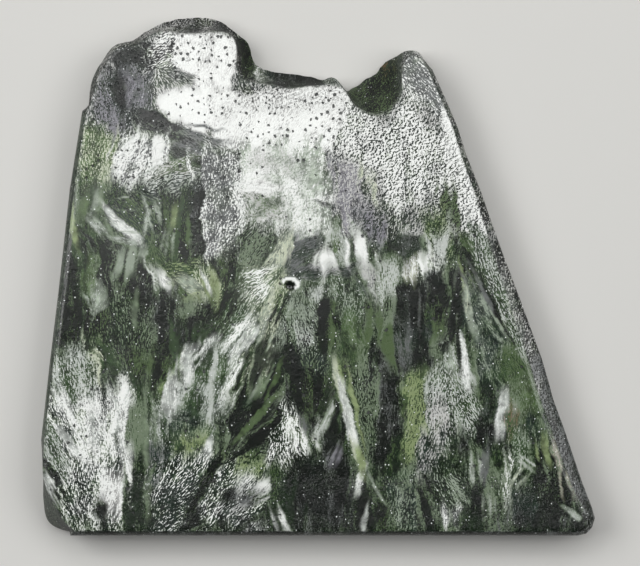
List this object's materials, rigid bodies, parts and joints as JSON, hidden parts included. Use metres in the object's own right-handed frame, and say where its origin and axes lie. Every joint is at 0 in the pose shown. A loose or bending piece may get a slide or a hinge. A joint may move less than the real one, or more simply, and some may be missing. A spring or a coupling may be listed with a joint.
{
  "type": "serpentinite slab",
  "caption": "Flat slab of dark green stone with silvery feather-shaped plumes on its polished face, sawn straight along its foot and sides and broken along its top.",
  "frame": {"origin": "middle of the slab's box in plan, on the back face that it rests on", "axes": "+X along the long sawn foot towards the slanted side, +Y from the sawn foot to the broken end, +Z out of the polished face"},
  "size_m": [0.085, 0.0798, 0.008],
  "materials": {
    "plumose_stone": "lapped to a satin shine on the face, rough where sawn and broken"
  },
  "bodies": {
    "root": {"serpentinite_slab": "plumose_stone"}
  },
  "joints": []
}
